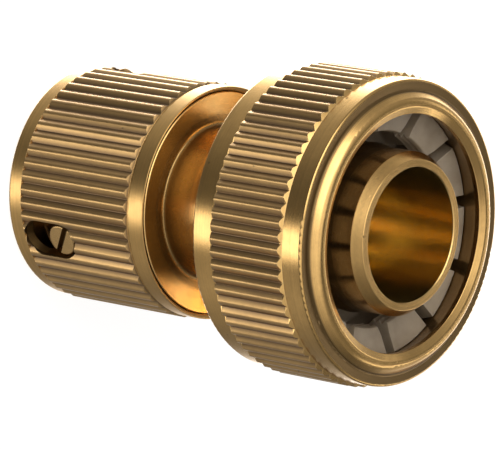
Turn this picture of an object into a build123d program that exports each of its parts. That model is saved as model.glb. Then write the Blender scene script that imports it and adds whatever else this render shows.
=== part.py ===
from build123d import *
import math
import os

# Brass garden-hose quick connector for 19 mm (3/4 in) hose.
# Frame: origin at the centre of the socket mouth, +Z along the coupling axis
# from the socket mouth to the hose end. Units: mm and degrees.
# _R is a radius from the axis; _Z0 and _Z1 are the mouth-side and hose-side ends.

# ---------------------------------------------------------------- main body
MOUTH_Z = 0.30          # mouth face of the body, inside the sleeve
BODY_R = 10.20          # tube outside radius
MOUTH_R = 8.95          # lead-in bore at the mouth
MOUTH_STEP_Z = 1.60
SOCKET_R = 8.65         # bore that takes the collar of the mating nipple
SOCKET_END_Z = 9.40
SEAL_BORE_R = 7.10      # bore that takes the tip of the mating nipple
SEAL_GROOVE_R = 8.40
SEAL_GROOVE_Z0 = 12.00
SEAL_GROOVE_Z1 = 14.20
STOP_Z = 18.00          # shoulder where the nipple stops
FLOW_R = 6.60
FLANGE_R = 13.15
FLANGE_Z0 = 19.90
FLANGE_Z1 = 21.05
NECK_R = 9.03
NECK_Z0 = 20.15
DRUM_Z0 = 33.30         # threaded drum that carries the clamp nut
DRUM_Z1 = 40.50
DRUM_ROOT_R = 14.95
CUP_R = 14.05           # pocket for the collet ring
CUP_Z = 35.50
SPIGOT_R = 9.50
SPIGOT_TOP_Z = 50.00
SPIGOT_BEVEL_Z = 48.80
SPIGOT_RIM_R = 8.68
SPIGOT_BORE_R = 7.77
SPIGOT_BORE_Z = 30.50
BARBS = 3
BARB_R = 9.85
BARB_Z = 38.40          # crest nearest the mouth
BARB_PITCH = 2.30
BARB_RISE = 0.10        # length of the steep, mouth-side flank
BARB_FALL = 1.60        # length of the gentle, hose-side flank

# ------------------------------------------------ threads on the drum and nut
THREAD_PITCH = 1.50
THREAD_DEPTH = 0.65
THREAD_Z0 = 34.35
THREAD_TURNS = 3.55
THREAD_BASE_W = 0.95
THREAD_TIP_W = 0.26
THREAD_SINK = 0.10      # depth the tooth is buried in its wall

# ------------------------------------------------------------ knurled surfaces
FLUTE_CREST_SHARE = 0.35    # shares of the flute pitch
FLUTE_ROOT_SHARE = 0.04
FLUTE_DEPTH = 0.38
KNURL_COVER = 0.01      # the blank stands this far outside the crests
KNURL_MARGIN = 1.0      # overlap of the knurl cutting shapes

# ----------------------------------------------------------- release sleeve
SLEEVE_LEN = 21.30
SLEEVE_BAND_R = 13.80
SLEEVE_CREST_R = 14.00
SLEEVE_KNURL_Z0 = 2.05
SLEEVE_KNURL_Z1 = 18.75
SLEEVE_KNURL_END_R = SLEEVE_CREST_R - 0.45
SLEEVE_FLUTES = 53
SLEEVE_FLUTE_PHASE = 1.3
SLEEVE_TRAVEL = 3.50
RING_SEAT_R = 12.40
RING_BORE_R = 10.35
RING_Z0 = 0.12
PIN_GROOVE_Z0 = 1.90
PIN_GROOVE_Z1 = 4.40
RIDGE_R = 10.30
SPRING_POCKET_Z = 10.80
SPRING_POCKET_R = 12.30
REAR_BORE_Z = 15.50
REAR_BORE_R = 13.25
CLOSE_FIT = 0.01        # gap outside the front ring and the seal

# Three windows through the sleeve, one over each guide screw
WINDOW_R = 2.28
WINDOW_Z0 = 4.43        # centres of the rounded ends
WINDOW_Z1 = 7.66
WINDOW_CUT_R0 = 9.0
WINDOW_CUT_R1 = 15.0
WINDOW_ANGLES = [-56.2 + 120 * i for i in range(3)]

# -------------------------------------------------------------- guide screws
SCREW_Z = 7.70
SCREW_HEAD_R = 1.95     # radius about the screw's own axis
SCREW_HEAD_FROM = BODY_R + 0.04     # head and shank ends, from the coupling axis
SCREW_HEAD_TO = 13.55
SCREW_SHANK_R = 1.25
SCREW_SHANK_FROM = 9.05
SCREW_SHANK_OVERLAP = 0.3   # length of shank inside the head
SCREW_HEAD_FILLET = 0.25
SCREW_SLOT_W = 0.70
SCREW_SLOT_DEPTH = 0.95
SCREW_SLOT_LEN = 6.0
SCREW_SLOT_TURN = -30.5
SEAT_RADIAL_CLEAR = 0.02    # screw seats in the body
SEAT_END_CLEAR = 0.05

# ------------------------------------------------------------- locking pins
PIN_R = 1.20
PIN_LEN = 9.00
PIN_CHAMFER = 0.25
PIN_CENTRE_R = 8.65
PIN_Z = (PIN_GROOVE_Z0 + PIN_GROOVE_Z1) / 2
PIN_OUT = 1.40          # outward travel when the sleeve is drawn towards the hose
PIN_ANGLES = [3.0 + 120 * i for i in range(3)]
PIN_CLEAR = 0.05
PIN_SLOT_EXTRA = 0.30   # added to the pin's axial travel and to its length

# ------------------------------------------------------------ return spring
SPRING_WIRE = 0.90      # wire diameter
SPRING_MEAN_R = (BODY_R + SPRING_POCKET_R) / 2
SPRING_END_GAP = 0.04
SPRING_Z0 = SPRING_POCKET_Z + SPRING_END_GAP
SPRING_Z1 = FLANGE_Z0 - SPRING_END_GAP
SPRING_TURNS = 4.75

# -------------------------------------------------------------- socket seal
SEAL_SECTION_R = 0.94

# -------------------------------------------------------------- hose collet
COLLET_BASE_Z0 = 35.65
COLLET_BASE_Z1 = 38.00
COLLET_OUT_R = 13.80
COLLET_IN_R = 10.25
COLLET_TIP_Z = 46.10
COLLET_TIP_R = 14.66
COLLET_SHOULDER_R = 15.50
COLLET_PAD_R = 11.25
COLLET_TEETH = 3        # teeth along the inside of each finger
COLLET_TOOTH_Z = 44.55  # crest nearest the hose end
COLLET_TOOTH_PITCH = 0.80
COLLET_TOOTH_DEPTH = 0.45
COLLET_FINGERS = 12
COLLET_SLOT_W = 1.45
COLLET_SLOT_PHASE = 20.0
COLLET_SLOT_Z0 = COLLET_BASE_Z1 + 0.25
COLLET_SLOT_LEN = 12.0
COLLET_SLOT_IN_R = 9.0
COLLET_SLOT_KNEE_R = 12.4   # inside this radius the slot widens
COLLET_SLOT_OUT_R = 17.0
COLLET_SLOT_FLARE = 0.60    # widening on each side at the inner end

# ---------------------------------------------------------------- clamp nut
NUT_Z0 = 32.34
NUT_BAND_R = 17.68
NUT_END_BAND_R = 17.70  # plain band on the hose side of the knurl
NUT_CREST_R = 18.18
NUT_FLUTES = 74
NUT_FLUTE_PHASE = 1.445
NUT_KNURL_Z0 = 35.24
NUT_KNURL_Z1 = 45.70
NUT_BORE_R = 15.76
NUT_BORE_BEVEL = 0.45
NUT_CONE_Z0 = 43.60
NUT_CONE_Z1 = 48.40
NUT_OPENING_R = 13.77


# ------------------------------------------------------------------ helpers
def ring_solid(points):
    """Closed (r, z[, fillet]) outline turned about Z; filleted corners are true arcs."""
    corners = []    # (start, arc midpoint or None, end) of each corner
    for i, (x, y, *rest) in enumerate(points):
        radius = rest[0] if rest else 0.0
        if radius <= 0:
            corners.append(((x, y), None, (x, y)))
            continue
        before = points[i - 1]
        after = points[(i + 1) % len(points)]
        to_before = Vector(before[0] - x, before[1] - y, 0).normalized()
        to_after = Vector(after[0] - x, after[1] - y, 0).normalized()
        half = math.acos(max(-1.0, min(1.0, to_before.dot(to_after)))) / 2
        setback = radius / math.tan(half)
        inward = (to_before + to_after).normalized()
        reach = radius / math.sin(half) - radius    # corner to arc midpoint
        corners.append((
            (x + to_before.X * setback, y + to_before.Y * setback),
            (x + inward.X * reach, y + inward.Y * reach),
            (x + to_after.X * setback, y + to_after.Y * setback),
        ))
    edges = []
    for i, (start, middle, end) in enumerate(corners):
        if middle is not None:
            edges.append(ThreePointArc(start, middle, end))
        next_start = corners[(i + 1) % len(corners)][0]
        if math.dist(end, next_start) > 1e-6:
            edges.append(Line(end, next_start))
    return revolve(Plane.XZ * make_face(Curve() + edges), Axis.Z)


def fluted_prism(crest_r, count, z0, z1, phase):
    """Prism with straight V flutes along Z and rounded crests."""
    pitch = 2 * math.pi * crest_r / count
    half = FLUTE_CREST_SHARE * pitch / 2
    root = FLUTE_ROOT_SHARE * pitch
    flank = pitch / 2 - half - root / 2
    # The flank slope and the drop of the crest's edges depend on each other: iterate.
    tilt = math.atan2(FLUTE_DEPTH, flank + half)
    for _ in range(20):
        tilt = math.atan2(FLUTE_DEPTH - half * math.tan(tilt / 2), flank)
    edge_r = crest_r - half * math.tan(tilt / 2)
    root_r = crest_r - FLUTE_DEPTH

    def at(i, offset, radius):
        angle = math.radians(phase) + (i * pitch + offset) / crest_r
        return (radius * math.cos(angle), radius * math.sin(angle))

    edges = []
    for i in range(count):
        crest_end = at(i, half, edge_r)
        root_start = at(i, half + flank, root_r)
        root_end = at(i, half + flank + root, root_r)
        edges.append(ThreePointArc(at(i, -half, edge_r), at(i, 0, crest_r), crest_end))
        edges.append(Line(crest_end, root_start))
        edges.append(Line(root_start, root_end))
        edges.append(Line(root_end, at(i + 1, -half, edge_r)))
    return Pos(0, 0, z0) * extrude(make_face(Wire(edges)), z1 - z0)


def knurl_cutter(crest_r, count, z0, z1, phase):
    """Ring that leaves flutes between z0 and z1 when taken from a blank."""
    inner, outer = crest_r - KNURL_MARGIN, crest_r + KNURL_MARGIN
    band = ring_solid([(inner, z0), (outer, z0), (outer, z1), (inner, z1)])
    return band - fluted_prism(crest_r, count, z0 - KNURL_MARGIN, z1 + KNURL_MARGIN, phase)


def at_angle(shape, phi):
    return Rot(0, 0, phi) * shape


def radial_cylinder(radius, start, end, z):
    """Cylinder along +X from start to end at height z."""
    return Pos((start + end) / 2, 0, z) * Rot(0, 90, 0) * Cylinder(radius, end - start)


def screw_thread(wall_r, z0, inward):
    """Helical tooth that stands out of (or into the bore of) a wall of radius wall_r."""
    side = -1 if inward else 1
    path = Helix(THREAD_PITCH, THREAD_PITCH * THREAD_TURNS, wall_r)
    base_r = wall_r - side * THREAD_SINK
    tip_r = wall_r + side * THREAD_DEPTH
    # Carry the flanks on at the same slope into the wall.
    grow = (THREAD_BASE_W - THREAD_TIP_W) / 2 / THREAD_DEPTH * THREAD_SINK
    half_base = THREAD_BASE_W / 2 + grow
    half_tip = THREAD_TIP_W / 2
    section = Plane.XZ * make_face(Polyline(
        (base_r, -half_base), (tip_r, -half_tip), (tip_r, half_tip), (base_r, half_base),
        close=True,
    ))
    return Pos(0, 0, z0) * sweep(section, path=path, is_frenet=True)


# ------------------------------------------------------------------- pieces
def pin_slot():
    """Slanted slot that guides a locking pin outwards as it moves along +Z."""
    axial = SLEEVE_TRAVEL + PIN_SLOT_EXTRA
    radial = PIN_OUT * axial / SLEEVE_TRAVEL
    length = math.hypot(radial, axial)
    lean = math.degrees(math.atan2(axial, radial))
    outline = Pos(length / 2, 0) * SlotCenterToCenter(length, 2 * (PIN_R + PIN_CLEAR))
    face = Plane.XZ * (Pos(PIN_CENTRE_R, PIN_Z) * Rot(0, 0, lean) * outline)
    return extrude(face, (PIN_LEN + PIN_SLOT_EXTRA) / 2, both=True)


def main_body():
    barbs = []
    for i in range(BARBS):
        z = BARB_Z + i * BARB_PITCH
        barbs += [(SPIGOT_R, z - BARB_RISE), (BARB_R, z, 0.10), (SPIGOT_R, z + BARB_FALL)]
    # (r, z[, fillet]): up the outside, over the spigot, down the bore
    body = ring_solid([
        (MOUTH_R + 0.20, MOUTH_Z),
        (9.70, MOUTH_Z),
        (BODY_R, 1.62),
        (BODY_R, FLANGE_Z0),
        (FLANGE_R - 0.15, FLANGE_Z0),
        (FLANGE_R, FLANGE_Z0 + 0.15),
        (FLANGE_R, FLANGE_Z1 - 0.10),
        (FLANGE_R - 0.10, FLANGE_Z1),
        (NECK_R, NECK_Z0, 0.45),
        (NECK_R, 30.30, 1.60),
        (10.60, 32.10, 1.50),
        (14.20, DRUM_Z0),
        (DRUM_ROOT_R - 0.35, DRUM_Z0),
        (DRUM_ROOT_R, DRUM_Z0 + 0.35),
        (DRUM_ROOT_R, DRUM_Z1 - 0.30),
        (DRUM_ROOT_R - 0.30, DRUM_Z1),
        (CUP_R + 0.20, DRUM_Z1),
        (CUP_R, DRUM_Z1 - 0.20),
        (CUP_R, CUP_Z, 0.30),
        (SPIGOT_R, CUP_Z, 0.50),
        *barbs,
        (SPIGOT_R, SPIGOT_BEVEL_Z, 0.15),
        (SPIGOT_RIM_R, SPIGOT_TOP_Z, 0.10),
        (SPIGOT_BORE_R + 0.10, SPIGOT_TOP_Z),
        (SPIGOT_BORE_R, SPIGOT_TOP_Z - 0.12),
        (SPIGOT_BORE_R, SPIGOT_BORE_Z + 1.60),
        (FLOW_R, SPIGOT_BORE_Z),
        (FLOW_R, STOP_Z),
        (SEAL_BORE_R, STOP_Z),
        (SEAL_BORE_R, SEAL_GROOVE_Z1),
        (SEAL_GROOVE_R, SEAL_GROOVE_Z1, 0.10),
        (SEAL_GROOVE_R, SEAL_GROOVE_Z0, 0.10),
        (SEAL_BORE_R, SEAL_GROOVE_Z0),
        (SEAL_BORE_R, SOCKET_END_Z + 0.90),
        (SOCKET_R, SOCKET_END_Z),
        (SOCKET_R, MOUTH_STEP_Z),
        (MOUTH_R, MOUTH_STEP_Z),
        (MOUTH_R, MOUTH_Z + 0.20),
    ])
    slot = pin_slot()
    for phi in PIN_ANGLES:
        body -= at_angle(slot, phi)
    # seats for the guide screws
    seat = radial_cylinder(SCREW_SHANK_R + SEAT_RADIAL_CLEAR,
                           SCREW_SHANK_FROM - SEAT_END_CLEAR, BODY_R + 1, SCREW_Z)
    for phi in WINDOW_ANGLES:
        body -= at_angle(seat, phi)
    body += screw_thread(DRUM_ROOT_R, THREAD_Z0, inward=False)
    return body


def release_sleeve():
    # (r, z[, fillet]): up the outside, down the inside
    sleeve = ring_solid([
        (RING_SEAT_R, 0.0),
        (SLEEVE_BAND_R, 0.0, 0.35),
        (SLEEVE_BAND_R, SLEEVE_KNURL_Z0),
        (SLEEVE_CREST_R + KNURL_COVER, SLEEVE_KNURL_Z0 + 0.16),
        (SLEEVE_CREST_R + KNURL_COVER, SLEEVE_KNURL_Z1 - 0.30),
        (SLEEVE_KNURL_END_R, SLEEVE_KNURL_Z1),
        (SLEEVE_KNURL_END_R, SLEEVE_KNURL_Z1 + 0.25),
        (SLEEVE_BAND_R, SLEEVE_KNURL_Z1 + 0.45),
        (SLEEVE_BAND_R, SLEEVE_LEN, 0.12),
        (SLEEVE_BAND_R - 0.12, SLEEVE_LEN),
        (REAR_BORE_R, SLEEVE_LEN - 0.45),
        (REAR_BORE_R, REAR_BORE_Z + 0.60),
        (SPRING_POCKET_R, REAR_BORE_Z),
        (SPRING_POCKET_R, SPRING_POCKET_Z),
        (RIDGE_R, SPRING_POCKET_Z),
        (RIDGE_R, PIN_GROOVE_Z1),
        (RING_SEAT_R, PIN_GROOVE_Z1),
    ])
    sleeve -= knurl_cutter(SLEEVE_CREST_R, SLEEVE_FLUTES,
                           SLEEVE_KNURL_Z0, SLEEVE_KNURL_Z1, SLEEVE_FLUTE_PHASE)
    window = radial_cylinder(WINDOW_R, WINDOW_CUT_R0, WINDOW_CUT_R1, WINDOW_Z0)
    window += radial_cylinder(WINDOW_R, WINDOW_CUT_R0, WINDOW_CUT_R1, WINDOW_Z1)
    window += (
        Pos((WINDOW_CUT_R0 + WINDOW_CUT_R1) / 2, 0, (WINDOW_Z0 + WINDOW_Z1) / 2)
        * Box(WINDOW_CUT_R1 - WINDOW_CUT_R0, 2 * WINDOW_R, WINDOW_Z1 - WINDOW_Z0)
    )
    for phi in WINDOW_ANGLES:
        sleeve -= at_angle(window, phi)
    return sleeve


def front_ring():
    """Ring in the mouth end of the sleeve; it closes the pin groove."""
    outer = RING_SEAT_R - CLOSE_FIT
    return ring_solid([
        (RING_BORE_R + 0.30, RING_Z0),
        (RING_SEAT_R - 0.20, RING_Z0),
        (outer, RING_Z0 + 0.20),
        (outer, PIN_GROOVE_Z0),
        (RING_BORE_R, PIN_GROOVE_Z0),
        (RING_BORE_R, RING_Z0 + 0.30),
    ])


def locking_pin(phi):
    pin = Pos(PIN_CENTRE_R, 0, PIN_Z) * Rot(90, 0, 0) * Cylinder(PIN_R, PIN_LEN)
    pin = chamfer(pin.edges().filter_by(GeomType.CIRCLE), PIN_CHAMFER)
    return at_angle(pin, phi)


def guide_screw(phi):
    head = radial_cylinder(SCREW_HEAD_R, SCREW_HEAD_FROM, SCREW_HEAD_TO, SCREW_Z)
    rim = head.edges().filter_by(GeomType.CIRCLE).sort_by(Axis.X)[-1]
    head = fillet(rim, SCREW_HEAD_FILLET)
    head -= (
        Pos(SCREW_HEAD_TO, 0, SCREW_Z)
        * Rot(SCREW_SLOT_TURN, 0, 0)
        * Box(2 * SCREW_SLOT_DEPTH, SCREW_SLOT_LEN, SCREW_SLOT_W)
    )
    shank = radial_cylinder(SCREW_SHANK_R, SCREW_SHANK_FROM,
                            SCREW_HEAD_FROM + SCREW_SHANK_OVERLAP, SCREW_Z)
    return at_angle(head + shank, phi)


def return_spring():
    wire_r = SPRING_WIRE / 2
    rise = SPRING_Z1 - SPRING_Z0 - SPRING_WIRE
    path = Helix(rise / SPRING_TURNS, rise, SPRING_MEAN_R)
    section = Plane.XZ * (Pos(SPRING_MEAN_R, 0) * Circle(wire_r))
    return Pos(0, 0, SPRING_Z0 + wire_r) * sweep(section, path=path, is_frenet=True)


def socket_seal():
    ring_r = SEAL_GROOVE_R - SEAL_SECTION_R - CLOSE_FIT
    return Pos(0, 0, (SEAL_GROOVE_Z0 + SEAL_GROOVE_Z1) / 2) * Torus(ring_r, SEAL_SECTION_R)


def hose_collet():
    teeth = []
    for i in range(COLLET_TEETH):
        z = COLLET_TOOTH_Z - i * COLLET_TOOTH_PITCH
        teeth.append((COLLET_PAD_R, z))
        teeth.append((COLLET_PAD_R + COLLET_TOOTH_DEPTH, z - COLLET_TOOTH_PITCH / 2))
    # (r, z[, fillet]): up the outside, down the toothed inside
    collet = ring_solid([
        (COLLET_IN_R, COLLET_BASE_Z0),
        (COLLET_OUT_R, COLLET_BASE_Z0, 0.30),
        (COLLET_OUT_R, 40.80, 1.50),
        (COLLET_SHOULDER_R, 43.10, 0.50),
        (COLLET_SHOULDER_R, 43.60, 0.30),
        (COLLET_TIP_R, COLLET_TIP_Z, 0.12),
        (COLLET_PAD_R + 0.15, COLLET_TIP_Z - 1.05, 0.20),
        *teeth,
        (12.70, 41.20, 1.20),
        (12.50, 38.40, 0.40),
        (COLLET_IN_R, COLLET_BASE_Z1, 0.20),
    ])
    half = COLLET_SLOT_W / 2
    wide = half + COLLET_SLOT_FLARE
    slot = make_face(Polyline(
        (COLLET_SLOT_IN_R, -wide), (COLLET_SLOT_KNEE_R, -half), (COLLET_SLOT_OUT_R, -half),
        (COLLET_SLOT_OUT_R, half), (COLLET_SLOT_KNEE_R, half), (COLLET_SLOT_IN_R, wide),
        close=True,
    ))
    slot = Pos(0, 0, COLLET_SLOT_Z0) * extrude(slot, COLLET_SLOT_LEN)
    for i in range(COLLET_FINGERS):
        collet -= at_angle(slot, COLLET_SLOT_PHASE + 360.0 * i / COLLET_FINGERS)
    return collet


def clamp_nut():
    # (r, z[, fillet]): up the outside, down the inside
    nut = ring_solid([
        (NUT_BORE_R + NUT_BORE_BEVEL, NUT_Z0),
        (NUT_BAND_R, NUT_Z0, 0.30),
        (NUT_BAND_R, NUT_KNURL_Z0),
        (NUT_CREST_R + KNURL_COVER, NUT_KNURL_Z0 + 0.22),
        (NUT_CREST_R + KNURL_COVER, NUT_KNURL_Z1 - 0.34),
        (NUT_END_BAND_R + 0.02, NUT_KNURL_Z1 + 0.02),
        (NUT_END_BAND_R, 48.44, 0.32),
        (16.36, 48.36, 0.35),
        (15.38, 49.40, 0.90),
        (14.62, 49.40, 0.50),
        (NUT_OPENING_R, 49.00, 0.12),
        (NUT_OPENING_R, NUT_CONE_Z1),
        (NUT_BORE_R, NUT_CONE_Z0),
        (NUT_BORE_R, NUT_Z0 + NUT_BORE_BEVEL),
    ])
    nut -= knurl_cutter(NUT_CREST_R, NUT_FLUTES, NUT_KNURL_Z0, NUT_KNURL_Z1, NUT_FLUTE_PHASE)
    # Half a pitch on, so the teeth fall between those of the drum.
    nut += screw_thread(NUT_BORE_R, THREAD_Z0 + THREAD_PITCH / 2, inward=True)
    return nut


pieces = {
    "main_body": main_body(),
    "release_sleeve": release_sleeve(),
    "front_ring": front_ring(),
    "return_spring": return_spring(),
    "socket_seal": socket_seal(),
    "hose_collet": hose_collet(),
    "clamp_nut": clamp_nut(),
}
for index, phi in enumerate(PIN_ANGLES, 1):
    pieces[f"locking_pin_{index}"] = locking_pin(phi)
for index, phi in enumerate(WINDOW_ANGLES, 1):
    pieces[f"guide_screw_{index}"] = guide_screw(phi)

os.makedirs("parts", exist_ok=True)
for name, solid in pieces.items():
    export_step(solid, f"parts/{name}.step")
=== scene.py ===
import math

import bmesh
import bpy
from mathutils import Matrix, Vector


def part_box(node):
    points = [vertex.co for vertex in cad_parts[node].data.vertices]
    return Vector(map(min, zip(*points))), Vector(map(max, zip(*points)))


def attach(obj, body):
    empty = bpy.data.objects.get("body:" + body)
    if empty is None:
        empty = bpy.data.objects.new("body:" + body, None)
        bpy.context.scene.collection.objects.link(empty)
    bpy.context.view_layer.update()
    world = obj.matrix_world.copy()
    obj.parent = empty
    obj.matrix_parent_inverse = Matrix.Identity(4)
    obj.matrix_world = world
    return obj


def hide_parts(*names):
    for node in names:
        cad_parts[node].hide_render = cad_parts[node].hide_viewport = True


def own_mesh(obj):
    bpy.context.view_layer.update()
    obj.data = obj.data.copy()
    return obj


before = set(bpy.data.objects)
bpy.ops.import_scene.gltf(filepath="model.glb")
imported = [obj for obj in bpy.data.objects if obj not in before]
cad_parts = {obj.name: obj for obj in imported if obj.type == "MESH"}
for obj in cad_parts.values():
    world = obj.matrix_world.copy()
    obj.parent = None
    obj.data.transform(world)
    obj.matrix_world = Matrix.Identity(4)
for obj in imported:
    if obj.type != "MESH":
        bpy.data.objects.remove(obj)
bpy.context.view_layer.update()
scene = bpy.context.scene
MM = 0.001


# ------------------------------------------------------------------ shader graphs
class Graph:
    """Builds a shader node tree; every value may be a number or a socket."""

    def __init__(self, tree):
        self.nodes = tree.nodes
        self.links = tree.links
        self.nodes.clear()

    def node(self, kind, **props):
        node = self.nodes.new(kind)
        for name, value in props.items():
            setattr(node, name, value)
        return node

    def put(self, socket, value):
        if isinstance(value, bpy.types.NodeSocket):
            self.links.new(value, socket)
        elif value is not None:
            socket.default_value = value

    def filled(self, kind, inputs, **props):
        """A node with inputs set from {name or index: value}."""
        node = self.node(kind, **props)
        for key, value in inputs.items():
            self.put(node.inputs[key], value)
        return node

    def math(self, operation, a, b=None, clamp=False):
        inputs = {0: a, 1: b}
        return self.filled("ShaderNodeMath", inputs, operation=operation, use_clamp=clamp).outputs[0]

    def times(self, a, b):
        return self.math("MULTIPLY", a, b)

    def plus(self, a, b, clamp=False):
        return self.math("ADD", a, b, clamp)

    def minus(self, a, b):
        return self.math("SUBTRACT", a, b)

    def weighted(self, a, b, weights):
        return self.plus(self.times(a, weights[0]), self.times(b, weights[1]))

    def swing(self, noise, amount):
        """Noise centred on zero, scaled by amount."""
        return self.times(self.minus(noise, 0.5), amount)

    def vector_math(self, operation, a, b=None):
        inputs = {0: a, 3 if operation == "SCALE" else 1: b}
        node = self.filled("ShaderNodeVectorMath", inputs, operation=operation)
        return node.outputs[1 if operation == "DOT_PRODUCT" else 0]

    def xyz(self, vector):
        return self.filled("ShaderNodeSeparateXYZ", {0: vector}).outputs

    def vector(self, x, y, z):
        return self.filled("ShaderNodeCombineXYZ", {0: x, 1: y, 2: z}).outputs[0]

    def grey_ramp(self, factor, stops):
        """Colour ramp through (position, grey level) stops."""
        ramp = self.node("ShaderNodeValToRGB")
        elements = ramp.color_ramp.elements
        while len(elements) > 1:
            elements.remove(elements[-1])
        for i, (position, level) in enumerate(stops):
            element = elements.new(position) if i else elements[0]
            element.position = position
            element.color = (level, level, level, 1.0)
        self.put(ramp.inputs[0], factor)
        return ramp.outputs[0]

    def remap(self, value, span, to=(0.0, 1.0), smooth=False):
        """Clamped map from span onto to."""
        node = self.node("ShaderNodeMapRange", clamp=True)
        if smooth:
            node.interpolation_type = "SMOOTHSTEP"
        for socket, number in zip(node.inputs[:5], (value, *span, *to)):
            self.put(socket, number)
        return node.outputs[0]

    def band(self, value, low, high, soft):
        """1 between low and high, fading out over soft on each side."""
        rise = self.remap(value, span=(low - soft, low), smooth=True)
        fall = self.remap(value, span=(high, high + soft), to=(1.0, 0.0), smooth=True)
        return self.times(rise, fall)

    def noise(self, vector=None, w=None, scale=1.0, detail=2.0, rough=0.5):
        """3D noise over vector, or 1D noise along w."""
        inputs = {"Vector": vector} if w is None else {"W": w}
        inputs.update({"Scale": scale, "Detail": detail, "Roughness": rough})
        dimensions = "3D" if w is None else "1D"
        return self.filled("ShaderNodeTexNoise", inputs, noise_dimensions=dimensions).outputs[0]

    def mix(self, factor, a, b, blend="MIX"):
        node = self.node("ShaderNodeMix", data_type="RGBA", blend_type=blend)
        self.put(node.inputs[0], factor)
        for socket, colour in ((node.inputs[6], a), (node.inputs[7], b)):
            self.put(socket, colour if isinstance(colour, bpy.types.NodeSocket) else (*colour, 1.0))
        return node.outputs[2]

    def cover(self, base, colour, mask, amount):
        """Lay colour over base where mask is 1, at strength amount."""
        return self.mix(self.times(mask, amount), base, colour)

    def mix_values(self, factor, a, b):
        return self.filled("ShaderNodeMix", {0: factor, 2: a, 3: b}, data_type="FLOAT").outputs[0]

    def bump(self, height, strength, depth_mm, normal=None):
        inputs = {"Strength": strength, "Distance": depth_mm * MM, "Height": height, "Normal": normal}
        return self.filled("ShaderNodeBump", inputs).outputs[0]

    def principled(self, inputs):
        self.finish(self.filled("ShaderNodeBsdfPrincipled", inputs))

    def finish(self, shader, kind="ShaderNodeOutputMaterial"):
        self.filled(kind, {0: shader.outputs[0]})


def new_material(name):
    material = bpy.data.materials.new(name)
    material.use_nodes = True
    return material, Graph(material.node_tree)


def position_mm(g):
    coordinates = g.node("ShaderNodeTexCoord")
    return g.vector_math("SCALE", coordinates.outputs["Object"], 1 / MM)


def bevel_and_wear(g, radius_mm, wear_mm):
    """Rounded-edge normal, and a mask that is 1 on worn edges."""
    rounded = g.filled("ShaderNodeBevel", {"Radius": radius_mm * MM}, samples=4)
    wide = g.filled("ShaderNodeBevel", {"Radius": wear_mm * MM}, samples=4)
    geometry = g.node("ShaderNodeNewGeometry")
    facing = g.vector_math("DOT_PRODUCT", wide.outputs[0], geometry.outputs["Normal"])
    return rounded.outputs[0], g.remap(facing, span=(0.985, 0.88))


# ------------------------------------------------------------------ brass
BRASS = (0.86, 0.53, 0.19)
BRASS_DARK = (0.46, 0.275, 0.105)
BRASS_PALE = (0.93, 0.66, 0.32)
# painted shade in the flute roots
FLUTE_ROOT_SHADE = (0.17, 0.095, 0.04)
# painted shade for occluded corners, cavities and the listed bands
OCCLUSION_SHADE_BROWN = (0.13, 0.082, 0.036)
PIT_BROWN = (0.16, 0.09, 0.035)
WATERWAY_YELLOW = (0.70, 0.54, 0.23)

# lengths in mm
WATERWAY_RADIUS = 7.95
WATERWAY_TOP = 49.9
# depths of the painted shade in the flute roots
ROOT_DEPTHS = (0.36, 0.12)  # below the crest: fully dark, and no longer dark
# reach of the ambient occlusion that paints shade into corners
SHADE_REACH = 6.0


def lathe_tangent(g, x, y):
    """Tangent along the turned profile: surface normal x direction round the axis."""
    around = g.vector_math("NORMALIZE", g.vector(g.times(y, -1.0), x, 0.0))
    to_world = g.filled("ShaderNodeVectorTransform", {0: around}, vector_type="VECTOR",
                        convert_from="OBJECT", convert_to="WORLD")
    geometry = g.node("ShaderNodeNewGeometry")
    cross = g.vector_math("CROSS_PRODUCT", geometry.outputs["Normal"], to_world.outputs[0])
    return g.vector_math("NORMALIZE", cross)


def flute_masks(g, radius, z, flutes):
    """Masks of the fluted zone and of the painted shade in the flute roots; both 0 without flutes."""
    if not flutes:
        nowhere = g.times(z, 0.0)
        return nowhere, nowhere
    above = g.math("GREATER_THAN", z, flutes["bottom"])
    in_height = g.times(above, g.math("LESS_THAN", z, flutes["top"]))
    fluted = g.times(in_height, g.math("GREATER_THAN", radius, flutes["inner"]))
    root_span = [flutes["crest"] - depth for depth in ROOT_DEPTHS]
    return fluted, g.times(fluted, g.remap(radius, span=root_span, to=(1.0, 0.0)))


def painted_shade_mask(g, rounded, radius, z, shade_bands):
    """Painted shade: darker in occluded corners (ambient occlusion) and in the given bands."""
    inputs = {"Distance": SHADE_REACH * MM, "Normal": rounded}
    occlusion = g.filled("ShaderNodeAmbientOcclusion", inputs, samples=6)
    shade_amount = g.remap(occlusion.outputs["AO"], span=(0.12, 0.80), to=(1.0, 0.0))
    for z_low, z_high, r_low, r_high, soft, amount in shade_bands:
        in_height = g.band(z, z_low, z_high, soft)
        inside = g.times(in_height, g.band(radius, r_low, r_high, soft))
        shade_amount = g.plus(shade_amount, g.times(inside, amount), clamp=True)
    return shade_amount


def lathe_rings(g, radius, z, seed):
    """Fine rings that follow the profile, uneven in depth."""
    along = g.plus(g.weighted(z, radius, weights=(1.0, 1.37)), seed)
    fine = g.noise(w=along, scale=13.0, detail=3.0, rough=0.65)
    broad = g.noise(w=along, scale=2.6, detail=2.0, rough=0.5)
    return g.weighted(fine, broad, weights=(0.65, 0.35))


def drawn_streaks(g, x, y, z, radius):
    """Lines drawn along the axis: noise dense round the axis, stretched along Z."""
    angle = g.math("ARCTAN2", y, x)
    stretched = g.vector(g.times(angle, 170.0), g.times(z, 0.16), g.times(radius, 4.0))
    return g.noise(stretched, scale=1.0, detail=4.0, rough=0.7)


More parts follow.
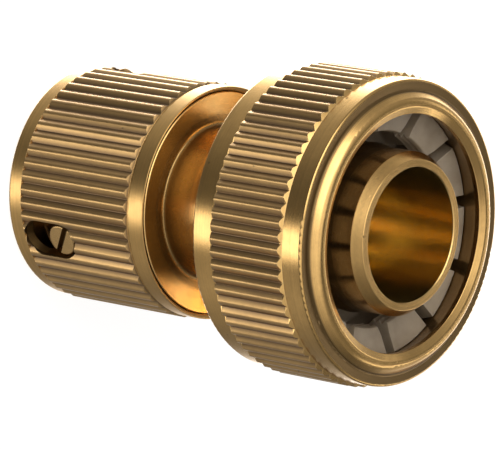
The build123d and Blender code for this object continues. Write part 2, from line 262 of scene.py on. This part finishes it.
def pit_mask(g, place, seed):
    """Small ragged pits in some of the Voronoi cells."""
    shifted = g.vector_math("ADD", place, (seed, seed * 0.7, 0.0))
    cells = g.filled("ShaderNodeTexVoronoi", {"Vector": shifted, "Scale": 0.42})
    ragged = g.swing(g.noise(place, scale=9.0, detail=2.0), amount=0.09)
    chosen = g.math("GREATER_THAN", g.xyz(cells.outputs["Color"])[0], 0.70)
    size = g.times(chosen, 0.042)
    outside = g.minus(g.plus(cells.outputs["Distance"], ragged), size)
    pit = g.remap(outside, span=(0.0, 0.03), to=(1.0, 0.0))
    # cells of size 0 stay smooth
    return g.times(pit, g.math("GREATER_THAN", size, 0.01))


def brass(name, roughness, tarnish, seed, flutes=None, shade_bands=(), tint=(1, 1, 1),
          waterway=False):
    """Turned brass. flutes gives the fluted zone in mm.

    Bands of painted shade, each: z low, z high, radius low, radius high, soft edge (mm), amount.
    """
    material, g = new_material(name)
    place = position_mm(g)
    x, y, z = g.xyz(place)
    radius = g.math("SQRT", g.plus(g.times(x, x), g.times(y, y)))
    rounded, wear = bevel_and_wear(g, radius_mm=0.05, wear_mm=0.14)
    tangent = lathe_tangent(g, x, y)
    fluted, root_shade = flute_masks(g, radius, z, flutes)
    # painted shade: ambient occlusion plus the listed bands
    shade_amount = painted_shade_mask(g, rounded, radius, z, shade_bands)

    # relief: rings on turned faces, streaks and grit on flutes, pits everywhere
    rings = lathe_rings(g, radius, z, seed)
    streaks = drawn_streaks(g, x, y, z, radius)
    grit = g.noise(place, scale=5.5, detail=4.0, rough=0.75)
    ring_height = g.times(rings, 1.0)
    flute_height = g.weighted(streaks, grit, weights=(0.30, 0.55))
    height = g.mix_values(fluted, ring_height, flute_height)
    pit = pit_mask(g, place, seed)
    pit_depth = g.times(pit, 1.8)
    normal = g.bump(g.minus(height, pit_depth), strength=0.55, depth_mm=0.010, normal=rounded)

    # base alloy, darkened by tarnish in broad clouds and on the flutes
    shifted = g.vector_math("ADD", place, (seed * 3.1, 0, 0))
    cloud = g.noise(shifted, scale=0.16, detail=4.0, rough=0.6)
    mottle = g.noise(place, scale=0.9, detail=5.0, rough=0.7)
    clouds = g.remap(g.weighted(cloud, mottle, weights=(0.6, 0.4)), span=(0.38, 0.66))
    flute_tarnish = g.times(fluted, 0.38)
    darkness = g.plus(g.times(clouds, tarnish), flute_tarnish, clamp=True)
    bright, dark = ([a * b for a, b in zip(alloy, tint)] for alloy in (BRASS, BRASS_DARK))
    colour = g.mix(darkness, bright, dark)

    # tone follows the relief
    ring_tone = g.remap(rings, span=(0.35, 0.65), to=(0.90, 1.06))
    streak_tone = g.remap(streaks, span=(0.3, 0.7), to=(0.93, 1.05))
    tone = g.mix_values(fluted, ring_tone, streak_tone)
    colour = g.mix(1.0, colour, g.vector(tone, tone, tone), blend="MULTIPLY")

    # worn edges, painted shade in the flute roots, painted shade in corners and bands, bore and pits,
    # each over the last
    colour = g.cover(colour, BRASS_PALE, mask=wear, amount=0.6)
    colour = g.cover(colour, FLUTE_ROOT_SHADE, mask=root_shade, amount=0.85)
    colour = g.cover(colour, OCCLUSION_SHADE_BROWN, mask=shade_amount, amount=0.85)
    if waterway:
        in_bore = g.math("LESS_THAN", radius, WATERWAY_RADIUS)
        deep = g.times(in_bore, g.math("LESS_THAN", z, WATERWAY_TOP))
        colour = g.mix(deep, colour, WATERWAY_YELLOW)
    colour = g.cover(colour, PIT_BROWN, mask=pit, amount=0.60)

    # roughness: smoother on worn edges, rougher where shade is painted
    turned_rough = g.plus(roughness, g.swing(mottle, amount=0.14))
    flute_rough = g.plus(0.36, g.swing(grit, amount=0.25))
    rough = g.mix_values(fluted, turned_rough, flute_rough)
    rough = g.minus(rough, g.times(wear, 0.06))
    rough = g.plus(rough, g.times(shade_amount, 0.12))

    g.principled({
        "Base Color": colour,
        "Metallic": 1.0,
        "Coat Weight": g.times(fluted, 0.6),
        "Coat Roughness": 0.34,
        "Roughness": rough,
        "Anisotropic": g.mix_values(fluted, 0.65, 0.25),
        "Tangent": tangent,
        "Normal": normal,
    })
    return material


# ------------------------------------------------------------------ other materials
def steel(name, grain_scale, roughness):
    material, g = new_material(name)
    place = position_mm(g)
    rounded, wear = bevel_and_wear(g, radius_mm=0.04, wear_mm=0.10)
    grain = g.noise(place, scale=grain_scale, detail=4.0, rough=0.7)
    cloud = g.noise(place, scale=0.5, detail=3.0)
    normal = g.bump(grain, strength=0.4, depth_mm=0.006, normal=rounded)
    colour = g.mix(g.remap(cloud, span=(0.35, 0.7)), (0.60, 0.60, 0.62), (0.42, 0.41, 0.40))
    colour = g.cover(colour, (0.78, 0.78, 0.80), mask=wear, amount=0.7)
    rough_range = (roughness - 0.06, roughness + 0.08)
    g.principled({
        "Base Color": colour,
        "Metallic": 1.0,
        "Roughness": g.remap(grain, span=(0.2, 0.8), to=rough_range),
        "Normal": normal,
    })
    return material


def nylon(name):
    material, g = new_material(name)
    place = position_mm(g)
    rounded, wear = bevel_and_wear(g, radius_mm=0.14, wear_mm=0.22)
    grain = g.noise(place, scale=7.0, detail=4.0, rough=0.7)
    cloud = g.noise(place, scale=0.35, detail=3.0)
    normal = g.bump(grain, strength=0.35, depth_mm=0.02, normal=rounded)
    colour = g.mix(g.remap(cloud, span=(0.35, 0.65)), (0.43, 0.35, 0.255), (0.34, 0.27, 0.19))
    colour = g.cover(colour, (0.58, 0.50, 0.40), mask=wear, amount=0.35)
    g.principled({
        "Base Color": colour,
        "Subsurface Weight": 0.35,
        "Subsurface Radius": (1.0, 0.9, 0.75),
        "Subsurface Scale": 1.2 * MM,
        "Roughness": g.remap(grain, span=(0.3, 0.7), to=(0.36, 0.48)),
        "IOR": 1.52,
        "Normal": normal,
    })
    return material


def rubber(name):
    material, g = new_material(name)
    place = position_mm(g)
    grain = g.noise(place, scale=9.0, detail=5.0, rough=0.75)
    cloud = g.noise(place, scale=0.8, detail=3.0)
    normal = g.bump(grain, strength=0.5, depth_mm=0.02)
    black, dusty = (0.018, 0.018, 0.019), (0.045, 0.044, 0.042)
    g.principled({
        "Base Color": g.mix(g.remap(cloud, span=(0.35, 0.7)), black, dusty),
        "Roughness": g.remap(grain, span=(0.3, 0.7), to=(0.55, 0.75)),
        "Normal": normal,
    })
    return material


def dress(piece, material):
    """Put the material in every slot of a CAD piece."""
    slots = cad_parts[piece].data.materials
    if not slots:
        slots.append(material)
    for i in range(len(slots)):
        slots[i] = material


def dress_pieces():
    """Make the materials and dress the CAD pieces; returns the spring wire's steel."""
    # the body's bands are painted shade: the flange foot and the spigot under the collet
    body = brass(
        "turned_brass_body", roughness=0.19, tarnish=0.30, seed=3.0, waterway=True,
        shade_bands=((20.0, 24.0, 8.7, 10.2, 0.6, 0.45), (33.0, 46.0, 9.3, 9.7, 0.1, 0.35)))
    sleeve = brass(
        "knurled_brass_sleeve", roughness=0.32, tarnish=0.35, seed=11.0,
        flutes=dict(bottom=2.12, top=18.7, inner=13.5, crest=14.0))
    # the nut's bands are painted shade: the groove behind the lip and the hollow inside the lip
    nut = brass(
        "knurled_brass_nut", roughness=0.20, tarnish=0.40, seed=23.0,
        flutes=dict(bottom=35.45, top=45.4, inner=17.3, crest=18.18),
        shade_bands=((48.05, 48.50, 16.25, 17.3, 0.16, 0.95), (43.0, 48.6, 13.6, 16.2, 0.15, 0.35)))
    ring = brass("turned_brass_ring", roughness=0.22, tarnish=0.40, seed=31.0)
    screw = brass("satin_brass_screw", roughness=0.28, tarnish=0.45, seed=41.0,
                  tint=(0.92, 0.94, 1.05))
    pin = steel("ground_steel_pin", grain_scale=14.0, roughness=0.22)
    wire = steel("drawn_steel_wire", grain_scale=6.0, roughness=0.30)

    dress("main_body", body)
    dress("release_sleeve", sleeve)
    dress("front_ring", ring)
    dress("clamp_nut", nut)
    dress("hose_collet", nylon("natural_nylon"))
    dress("socket_seal", rubber("black_rubber"))
    for i in (1, 2, 3):
        dress(f"guide_screw_{i}", screw)
        dress(f"locking_pin_{i}", pin)
    dress("return_spring", wire)
    return wire


def add_object(name, bm, smooth=False):
    mesh = bpy.data.meshes.new(name)
    bm.to_mesh(mesh)
    bm.free()
    if smooth:
        for face in mesh.polygons:
            face.use_smooth = True
    added = bpy.data.objects.new(name, mesh)
    scene.collection.objects.link(added)
    return added


# ------------------------------------------------------------------ spring
WIRE_RADIUS = 0.45 * MM
TURNS = 5.6
CLOSED_TURNS = 0.85  # at each end
CLOSED_PITCH = 0.98 * 0.9  # in wire diameters
GROUND_DEPTH = 0.12 * WIRE_RADIUS  # cut flat from each end
COIL_STEPS = 620
WIRE_SIDES = 20


def coil_height(t, rise):
    """Climb of the wire's centre at t (0 to 1) along the coil."""
    end = CLOSED_TURNS / TURNS
    end_rise = 2 * WIRE_RADIUS * CLOSED_TURNS * CLOSED_PITCH
    if t < end:
        return end_rise * t / end
    if t > 1 - end:
        return rise - end_rise * (1 - t) / end
    return end_rise + (rise - 2 * end_rise) * (t - end) / (1 - 2 * end)


def build_spring(material):
    """Compression spring with closed, ground ends, swept as a mesh."""
    low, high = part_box("return_spring")
    coil_radius = high.x - WIRE_RADIUS
    rise = (high.z - low.z) - 2 * WIRE_RADIUS
    bm = bmesh.new()
    rings = []
    for i in range(COIL_STEPS + 1):
        t = i / COIL_STEPS
        turn = 2 * math.pi * TURNS * t
        outward = Vector((math.cos(turn), math.sin(turn), 0))
        centre = outward.copy() * 0
        centre = Vector((coil_radius * math.cos(turn), coil_radius * math.sin(turn),
                         low.z + WIRE_RADIUS + coil_height(t, rise)))
        before, after = max(0, t - 1e-3), min(1, t + 1e-3)
        climb = (coil_height(after, rise) - coil_height(before, rise)) / (after - before)
        slope = climb / (2 * math.pi * TURNS * coil_radius)
        along = Vector((-math.sin(turn), math.cos(turn), slope)).normalized()
        upward = -along.cross(outward).normalized()
        ring = []
        for k in range(WIRE_SIDES):
            angle = 2 * math.pi * k / WIRE_SIDES
            point = (centre + outward * (WIRE_RADIUS * math.cos(angle))
                     + upward * (WIRE_RADIUS * math.sin(angle)))
            point.z = min(max(point.z, low.z + GROUND_DEPTH), high.z - GROUND_DEPTH)
            ring.append(bm.verts.new(point))
        rings.append(ring)
    for a, b in zip(rings, rings[1:]):
        for k in range(WIRE_SIDES):
            after_k = (k + 1) % WIRE_SIDES
            bm.faces.new((a[k], a[after_k], b[after_k], b[k]))
    bm.faces.new(rings[0][::-1])
    bm.faces.new(rings[-1])
    bmesh.ops.recalc_face_normals(bm, faces=bm.faces)

    spring = add_object("coil_spring", bm, smooth=True)
    spring.data.materials.append(material)
    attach(spring, "coupling_body")
    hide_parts("return_spring")
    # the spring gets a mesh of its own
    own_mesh(spring)


# ------------------------------------------------------------------ floor
FLOOR_RADIUS = 1.6
FLOOR_SIDES = 96
FLOOR_Z = -0.0003


def build_floor():
    """Pale disc seen only by the camera: it casts no shadow or reflection."""
    bm = bmesh.new()
    angles = [2 * math.pi * i / FLOOR_SIDES for i in range(FLOOR_SIDES)]
    bm.faces.new([bm.verts.new((FLOOR_RADIUS * math.cos(a), FLOOR_RADIUS * math.sin(a), 0))
                  for a in angles])
    floor = add_object("floor", bm)
    floor.location = (0, 0, FLOOR_Z)
    for ray in ("glossy", "diffuse", "transmission", "shadow"):
        setattr(floor, f"visible_{ray}", False)

    material, g = new_material("pale_floor")
    glow = g.filled("ShaderNodeEmission", {"Color": (1.0, 0.998, 0.995, 1), "Strength": 0.86})
    matt = g.filled("ShaderNodeBsdfDiffuse", {"Color": (0.30, 0.30, 0.30, 1)})
    g.finish(g.filled("ShaderNodeAddShader", {0: glow.outputs[0], 1: matt.outputs[0]}))
    floor.data.materials.append(material)


# ------------------------------------------------------------------ light
# The studio is a stack of rings of light, listed from straight down to overhead.
# Each ring's stops are (degrees from +X towards +Y, brightness).
UNDER_RING = (
    (0, .14), (60, .20), (100, .45), (150, .40), (200, .15), (250, .08), (280, .2), (290, .9),
    (300, .5), (320, .15), (360, .14))
# Direction z over which each ring takes over from the one below, then its stops.
UPPER_RINGS = (
    ((-0.96, -0.84), (
        (0, .28), (20, .21), (32, .22), (44, .30), (54, .50), (66, .95), (78, 2.2), (92, 6.0),
        (140, 6.0), (150, 3.2), (159, 1.6), (170, .80), (188, .40), (204, .33), (220, .24),
        (236, .16), (250, .12), (266, .12), (275, .18), (279, .80), (282, 2.2), (300, 2.2),
        (303, .8), (307, .33), (322, .36), (335, .40), (347, .36), (360, .28))),
    ((-0.40, 0.02), (
        (0, .16), (25, .10), (48, .18), (62, .60), (80, 1.0), (100, 1.0), (112, .60),
        (127, .36), (142, .46), (158, .46), (174, .34), (192, .26), (214, .22), (236, .11),
        (262, .07), (292, .07), (308, .14), (328, .16), (360, .16))),
    ((0.20, 0.28), (
        (0, .20), (30, .14), (60, .25), (80, .28), (100, .28), (120, .28), (150, .36),
        (175, .36), (195, .32), (214, .26), (236, .14), (262, .08), (292, .08), (310, .18),
        (330, .22), (360, .20))),
    ((0.40, 0.44), (
        (0, .36), (20, .24), (40, .30), (56, 1.8), (78, 2.2), (98, 2.1), (112, .90),
        (135, .30), (150, .34), (176, .44), (190, .55), (206, .80), (232, .45), (256, .25),
        (272, .20), (290, .30), (320, .50), (342, .42), (360, .36))),
    ((0.50, 0.57), (
        (0, .40), (20, .28), (50, .20), (75, .20), (90, .21), (110, .22), (135, .30),
        (165, .46), (182, .70), (200, 2.8), (250, 2.8), (268, 1.9), (285, 1.25), (310, 1.05),
        (335, .85), (360, .55))),
    ((0.84, 0.92), (
        (0, .60), (40, .20), (70, .10), (110, .10), (140, .40), (170, .80), (200, 1.10),
        (290, 1.10), (340, .90), (360, .70))),
)
ZENITH_SPAN = (0.955, 0.985)
ZENITH = (1.15, 1.15, 1.15)
WARMTH = (1.0, 0.992, 0.975)
BACKDROP = (0.94, 0.94, 0.94)  # what the camera sees behind the product


def build_light():
    world = bpy.data.worlds.new("studio")
    scene.world = world
    world.use_nodes = True
    g = Graph(world.node_tree)
    coordinates = g.node("ShaderNodeTexCoord")
    x, y, z = g.xyz(g.vector_math("NORMALIZE", coordinates.outputs["Generated"]))
    turn = g.math("DIVIDE", g.math("ARCTAN2", y, x), 2 * math.pi)
    turn = g.math("FRACT", g.plus(turn, 1.0))

    def ring(stops):
        return g.grey_ramp(turn, [(degrees / 360.0, level) for degrees, level in stops])

    light = ring(UNDER_RING)
    for span, stops in UPPER_RINGS:
        light = g.mix(g.remap(z, span=span), light, ring(stops))
    light = g.mix(g.remap(z, span=ZENITH_SPAN), light, ZENITH)
    light = g.mix(1.0, light, WARMTH, blend="MULTIPLY")
    rays = g.node("ShaderNodeLightPath")
    seen = g.mix(rays.outputs["Is Camera Ray"], light, BACKDROP)
    background = g.filled("ShaderNodeBackground", {"Color": seen, "Strength": 1.0})
    g.finish(background, kind="ShaderNodeOutputWorld")
    scene.view_settings.view_transform = "Standard"
    scene.view_settings.look = "None"


# ------------------------------------------------------------------ camera
CAMERA_PLACE = (0.0019709, -0.4215669, 0.3764664)
CAMERA_RIGHT = (-0.1696954, 0.6297256, 0.7580562)
CAMERA_UP = (-0.9854966, -0.1084368, -0.1305296)


def build_camera():
    """Long lens from -Y and above, rolled so that its up is close to -X."""
    lens = bpy.data.cameras.new("camera")
    camera = bpy.data.objects.new("camera", lens)
    scene.collection.objects.link(camera)
    lens.sensor_width = 36.0
    lens.lens = 338.184
    lens.clip_start = 0.01
    lens.clip_end = 10.0
    right = Vector(CAMERA_RIGHT).normalized()
    backward = right.cross(Vector(CAMERA_UP).normalized()).normalized()
    pose = Matrix((right, backward.cross(right), backward)).transposed().to_4x4()
    pose.translation = CAMERA_PLACE
    camera.matrix_world = pose
    scene.camera = camera


wire_steel = dress_pieces()
build_spring(wire_steel)
build_floor()
build_light()
build_camera()
